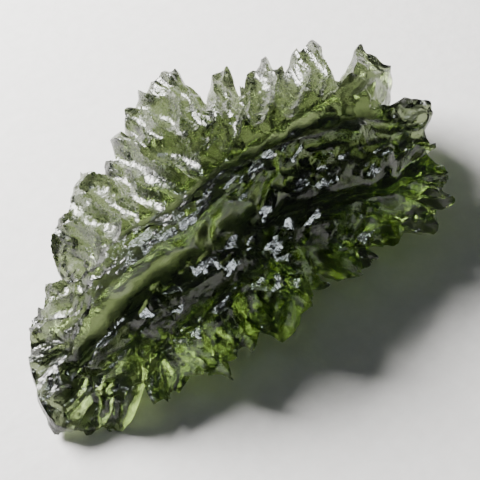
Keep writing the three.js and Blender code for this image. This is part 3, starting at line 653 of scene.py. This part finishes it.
# ---- Blender: the mesh ----
def stone_mesh(name):
    """The stone as one closed mesh in metres, centred on the CAD node, with its flow map.

    The attribute "flow" runs across the fanning grooves, along them, and up, in millimetres;
    "spread" is the share of the way from the spine to the rim; "sunk" is how far a point lies
    below the uncut top, in millimetres; "calm" is 1 on the smooth skin of the calm channels and
    "frosted" is 1 on the ledges.
    """
    cuts = all_cuts()
    points, quads = contour(cuts)
    points, triangles = largest_piece(points, into_triangles(points, quads, cuts))
    out, round_ = leaf_coordinates(points[:, 0], points[:, 1])
    flow = np.stack([round_ * SPINE_HALF, np.arcsinh(out) * SPINE_HALF, points[:, 2]], 1)
    sunk = face_heights(points[:, 0], points[:, 1])[0] - points[:, 2]
    ledge_fade = 0.1
    frosted = np.clip(1 + into_ledges(points) / ledge_fade, 0, 1)
    below_crest = np.clip((sunk - 0.3) / 0.5, 0, 1)
    calm = channel_calm(*wandering(points).T) * ((1 - frosted) * below_crest)
    points[:, 2] = np.maximum(points[:, 2], 0)
    low, high = [np.array(corner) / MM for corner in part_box("moldavite")]
    points[:, :2] += (low + high)[:2] / 2 - (points.min(0) + points.max(0))[:2] / 2
    mesh = bpy.data.meshes.new(name)
    mesh.from_pydata((points * MM).tolist(), [], triangles.tolist())
    mesh.attributes.new("flow", "FLOAT_VECTOR", "POINT").data.foreach_set("vector", flow.ravel())
    for title, values in [("spread", out / rim_reach(round_)), ("sunk", sunk), ("calm", calm),
                          ("frosted", frosted)]:
        mesh.attributes.new(title, "FLOAT", "POINT").data.foreach_set("value", values)
    return mesh


# ---- node trees ----
class Tree:
    """Adds nodes to a tree: node("TYPE", settings, sockets) gives back the node's outputs."""

    def __init__(self, tree):
        self.tree = tree

    def node(self, kind, settings=(), output=0, **sockets):
        node = self.tree.nodes.new(kind)
        for name, value in dict(settings).items():
            if name == "stops":
                set_stops(node.color_ramp, value)
            else:
                setattr(node, name, value)
        for name, value in sockets.items():
            key = int(name[1:]) if name[1:].isdigit() else name.replace("_", " ")
            self.feed(node.inputs[key], value)
        return Value(self, node.outputs[output]) if node.outputs else node

    def attributes(self, *titles):
        """The stone's own values, as a material reads them."""
        return [self.node("ShaderNodeAttribute", {"attribute_name": title}, output=2)
                for title in titles]

    def named_values(self, *titles):
        """The stone's own values, as Geometry Nodes read them."""
        return [self.node("GeometryNodeInputNamedAttribute", {"data_type": "FLOAT"}, Name=title)
                for title in titles]

    def vector(self, x, y, z):
        return self.node("ShaderNodeCombineXYZ", X=x, Y=y, Z=z)

    def vectors(self, operation, first, second):
        other = {"Scale" if operation == "SCALE" else "i1": second}
        return self.node("ShaderNodeVectorMath", {"operation": operation}, i0=first, **other)

    def noise(self, at, scale, seed=0, detail=4):
        return self.node("ShaderNodeTexNoise", {"noise_dimensions": "4D"}, Vector=at, W=seed,
                         Scale=scale, Detail=detail, Roughness=0.6)

    def feed(self, socket, value):
        if isinstance(value, Value):
            self.tree.links.new(value.socket, socket)
        else:
            socket.default_value = value


def set_stops(ramp, stops):
    while len(ramp.elements) > 1:
        ramp.elements.remove(ramp.elements[-1])
    for n, (position, colour) in enumerate(stops):
        element = ramp.elements[0] if n == 0 else ramp.elements.new(position)
        element.position, element.color = position, (*colour, 1)


class Value:
    """A number in a node tree that can be added, multiplied and so on as in Python."""

    def __init__(self, tree, socket):
        self.tree, self.socket = tree, socket

    def maths(self, operation, *others):
        numbers = {f"i{n}": other for n, other in enumerate([self, *others])}
        return self.tree.node("ShaderNodeMath", {"operation": operation}, **numbers)

    def __add__(self, other):
        return self.maths("ADD", other)

    def __mul__(self, other):
        return self.maths("MULTIPLY", other)

    def __sub__(self, other):
        return self.maths("SUBTRACT", other)

    def __rsub__(self, other):
        return (self * -1) + other

    def __rtruediv__(self, other):
        return self.maths("POWER", -1) * other

    __radd__, __rmul__ = __add__, __mul__

    def smooth_step(self, low, high):
        return self.tree.node("ShaderNodeMapRange", {"interpolation_type": "SMOOTHSTEP"},
                              Value=self, From_Min=low, From_Max=high)


def skin_tree():
    """Geometry Nodes that ripple a surface: ridges along the flow of the grooves, and pits."""
    group = bpy.data.node_groups.new("rippled_skin", "GeometryNodeTree")
    group.interface.new_socket("Geometry", in_out="OUTPUT", socket_type="NodeSocketGeometry")
    sockets = [("Geometry", "Geometry"), ("Ridge Depth", "Float"), ("Ridge Spacing", "Float"),
               ("Ridge Length", "Float"), ("Pit Depth", "Float"), ("Pit Spacing", "Float"),
               ("Seed", "Float"), ("Material", "Material")]
    for name, kind in sockets:
        group.interface.new_socket(name, in_out="INPUT", socket_type=f"NodeSocket{kind}")
    tree = Tree(group)
    given = {name: tree.node("NodeGroupInput", output=n) for n, (name, _) in enumerate(sockets)}
    place = tree.vectors("SCALE", tree.node("GeometryNodeInputPosition"), 1 / MM)
    across = 1 / given["Ridge Spacing"]
    length = 1 / given["Ridge Length"]
    flow = tree.node("GeometryNodeInputNamedAttribute", {"data_type": "FLOAT_VECTOR"}, Name="flow")
    spread, calm, frosted = tree.named_values("spread", "calm", "frosted")
    ways = [(flow, tree.vector(across, length, across)),
            (place, tree.vector(length, across, across))]
    fan_ridge, spine_ridge = [tree.noise(tree.vectors("MULTIPLY", at, scale), 1, given["Seed"], 2)
                              for at, scale in ways]
    fanned = spread.smooth_step(*FANNED)
    ridge = fan_ridge * fanned + spine_ridge * (1 - fanned) - 0.5
    pit = tree.noise(place, 1 / given["Pit Spacing"], given["Seed"] + 5, 1) - 0.5
    push = ridge * given["Ridge Depth"] + pit * given["Pit Depth"]
    calmed = push * (1 - calm * 0.8) * (1 - frosted * 0.6)
    offset = tree.vectors("SCALE", tree.node("GeometryNodeInputNormal"), calmed)
    moved = tree.node("GeometryNodeSetPosition", Geometry=given["Geometry"], Offset=offset)
    solid = tree.node("GeometryNodeRealizeInstances", Geometry=moved)
    dressed = tree.node("GeometryNodeSetMaterial", Geometry=solid, Material=given["Material"])
    tree.node("NodeGroupOutput", Geometry=dressed)
    return group


def rippled(name, mesh, material, **given):
    """The mesh after the skin tree, as a plain mesh object with nothing left to evaluate."""
    piece = bpy.data.objects.new(name, mesh)
    bpy.context.scene.collection.objects.link(piece)
    modifier = piece.modifiers.new("skin", "NODES")
    modifier.node_group = skin_tree()
    given["Material"] = material
    for socket in modifier.node_group.interface.items_tree:
        key = socket.name.replace(" ", "_")
        if socket.in_out == "INPUT" and key in given:
            modifier[socket.identifier] = given[key]
    evaluated = piece.evaluated_get(bpy.context.evaluated_depsgraph_get())
    plain = bpy.data.meshes.new_from_object(evaluated)
    piece.modifiers.clear()
    piece.data = plain
    plain.name = name
    return piece


def new_material(name):
    """An empty material, its tree, and the place on the piece that its patterns read."""
    material = bpy.data.materials.new(name)
    material.use_nodes = True
    material.node_tree.nodes.clear()
    tree = Tree(material.node_tree)
    return material, tree, tree.node("ShaderNodeTexCoord", output=3)


def green_glass():
    """Clear olive-green glass with an etched skin: striations, grain and a speckle of dull spots.

    The skin is smoother and shinier in the calm channels, and rougher on the far (+Y) flank.
    """
    material, tree, place = new_material("green_glass")
    flow = tree.node("ShaderNodeAttribute", {"attribute_name": "flow"}, output=1)
    spread, sunk, calm, frosted = tree.attributes("spread", "sunk", "calm", "frosted")
    y = tree.node("ShaderNodeSeparateXYZ", output=1, Vector=place)
    far_flank = y.smooth_step(0.5 * MM, 3 * MM)
    crest = 1 - sunk.smooth_step(0.4, 1.2)

    # Striations: along the spine near it, and out along the grooves further off.
    fan_lines = tree.noise(tree.vectors("MULTIPLY", flow, (4, 0.7, 3)), 1, detail=2)
    spine_lines = tree.noise(tree.vectors("MULTIPLY", place, (700, 4000, 4000)), 1, detail=2)
    fanned = spread.smooth_step(*FANNED)
    lines = fan_lines * fanned + spine_lines * (1 - fanned)
    grain = tree.noise(place, 6000, detail=1)

    # Both are kept shallow: steeper ones turn the shiny facets dull.
    line_depth = crest * 0.13 + 0.06
    grain_depth = far_flank * 0.03 - frosted * 0.03 + 0.08
    height = (lines * line_depth + grain * grain_depth) * (1 - calm * 0.6)
    bump = tree.node("ShaderNodeBump", Height=height, Strength=1, Distance=0.3 * MM)

    specks = tree.noise(place, 4500, detail=1).smooth_step(0.42, 0.58)
    speck_dullness = far_flank * 0.06 - calm * 0.1 + 0.14
    roughness = specks * speck_dullness + far_flank * 0.03 + 0.09

    # The glass's tint pales towards the rim, from a start that wanders with noise: painted light, a
    # glow standing in for light shining through the thin edges.
    edge = tree.noise(place, 300, 7, detail=1) * 0.3 + spread - 0.2
    body_tint, painted_rim_glow = (0.2, 0.23, 0.15), (0.25, 0.28, 0.185)
    tint = tree.node("ShaderNodeValToRGB", {"stops": [(0.84, body_tint), (1, painted_rim_glow)]},
                     Fac=edge)
    surface = tree.node("ShaderNodeBsdfPrincipled", Base_Color=tint, Roughness=roughness, IOR=1.5,
                        Transmission_Weight=1, Normal=bump)
    inside = tree.node("ShaderNodeVolumeAbsorption", Color=(0.45, 0.53, 0.23, 1), Density=345)
    tree.node("ShaderNodeOutputMaterial", Surface=surface, Volume=inside)
    return material


def paper():
    """Plain off-white paper with a faint soft grain."""
    material, tree, place = new_material("paper")
    fibres = tree.noise(place, 900)
    stops = [(0.3, (0.72, 0.71, 0.7)), (0.7, (0.78, 0.77, 0.76))]
    colour = tree.node("ShaderNodeValToRGB", {"stops": stops}, Fac=fibres)
    bump = tree.node("ShaderNodeBump", Height=fibres, Strength=0.15, Distance=0.2 * MM)
    surface = tree.node("ShaderNodeBsdfPrincipled", Base_Color=colour, Roughness=0.9, Normal=bump)
    tree.node("ShaderNodeOutputMaterial", Surface=surface)
    return material


# ---- camera, light and floor ----
def add_camera():
    """Looks down on the stone from its lower left through a long lens, close up."""
    azimuth, elevation = math.radians(-43.5), math.radians(50)
    aim, distance = Vector((-1.2, -3.5, 4)) * MM, 74.6
    back = Vector((math.sin(azimuth) * math.cos(elevation),
                   -math.cos(azimuth) * math.cos(elevation), math.sin(elevation)))
    data = bpy.data.cameras.new("camera")
    data.lens = 85
    data.clip_start = 1 * MM
    camera = bpy.data.objects.new("camera", data)
    camera.location = aim + back * distance * MM
    camera.rotation_euler = back.to_track_quat("Z", "Y").to_euler()
    bpy.context.scene.collection.objects.link(camera)
    bpy.context.scene.camera = camera


def add_light(name, place, size, power, colour, lit=True, mirrored=True):
    """An area light that faces the stone. Off, lit leaves only its reflection in the glass, and
    mirrored leaves out its glossy reflection, though etched glass still shows a part of it."""
    target = (0, 0, 4 * MM)
    data = bpy.data.lights.new(name, "AREA")
    data.energy, data.color = power, colour
    data.shape, data.size, data.size_y = "RECTANGLE", *size
    light = bpy.data.objects.new(name, data)
    light.location = place
    light.rotation_euler = (Vector(place) - Vector(target)).to_track_quat("Z", "Y").to_euler()
    light.visible_diffuse = light.visible_transmission = lit
    light.visible_glossy = mirrored
    bpy.context.scene.collection.objects.link(light)


def add_sky(colour, strength):
    world = bpy.data.worlds.new("sky")
    world.use_nodes = True
    background = world.node_tree.nodes["Background"]
    background.inputs["Color"].default_value = (*colour, 1)
    background.inputs["Strength"].default_value = strength
    bpy.context.scene.world = world


def add_floor():
    half = 0.5
    clearance = 0.02 * MM    # keeps the paper off the stone's flat underside
    mesh = bpy.data.meshes.new("floor")
    mesh.from_pydata([(-half, -half, 0), (half, -half, 0), (half, half, 0), (-half, half, 0)],
                     [], [(0, 1, 2, 3)])
    mesh.materials.append(paper())
    floor = bpy.data.objects.new("floor", mesh)
    floor.location.z = -clearance
    bpy.context.scene.collection.objects.link(floor)


# The window lights the stone from behind, and still shows a little in the glass. The pane and the
# ceiling are only seen mirrored in it.
WARM_WHITE, SKY_BLUE = (1, 0.99, 0.97), (0.86, 0.93, 1)

add_camera()
add_sky(colour=(0.9, 0.95, 1), strength=0.075)
add_light("window", place=(-0.04, 0.165, 0.09), size=(0.12, 0.06), power=3, colour=WARM_WHITE,
          mirrored=False)
add_light("window_pane", place=(-0.04, 0.165, 0.11), size=(0.2, 0.12), power=0.16,
          colour=SKY_BLUE, lit=False)
add_light("ceiling", place=(-0.031, 0.042, 0.245), size=(0.06, 0.06), power=0.28,
          colour=SKY_BLUE, lit=False)
add_floor()

stone = rippled("etched_stone", stone_mesh("etched_stone"), green_glass(), Seed=3,
                Ridge_Depth=0.2 * MM, Ridge_Spacing=0.5, Ridge_Length=4,
                Pit_Depth=0.1 * MM, Pit_Spacing=0.7)
stone.data.shade_smooth()
crisp_edge = math.radians(35)
stone.data.set_sharp_from_angle(angle=crisp_edge)
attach(stone, "root")
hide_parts("moldavite")
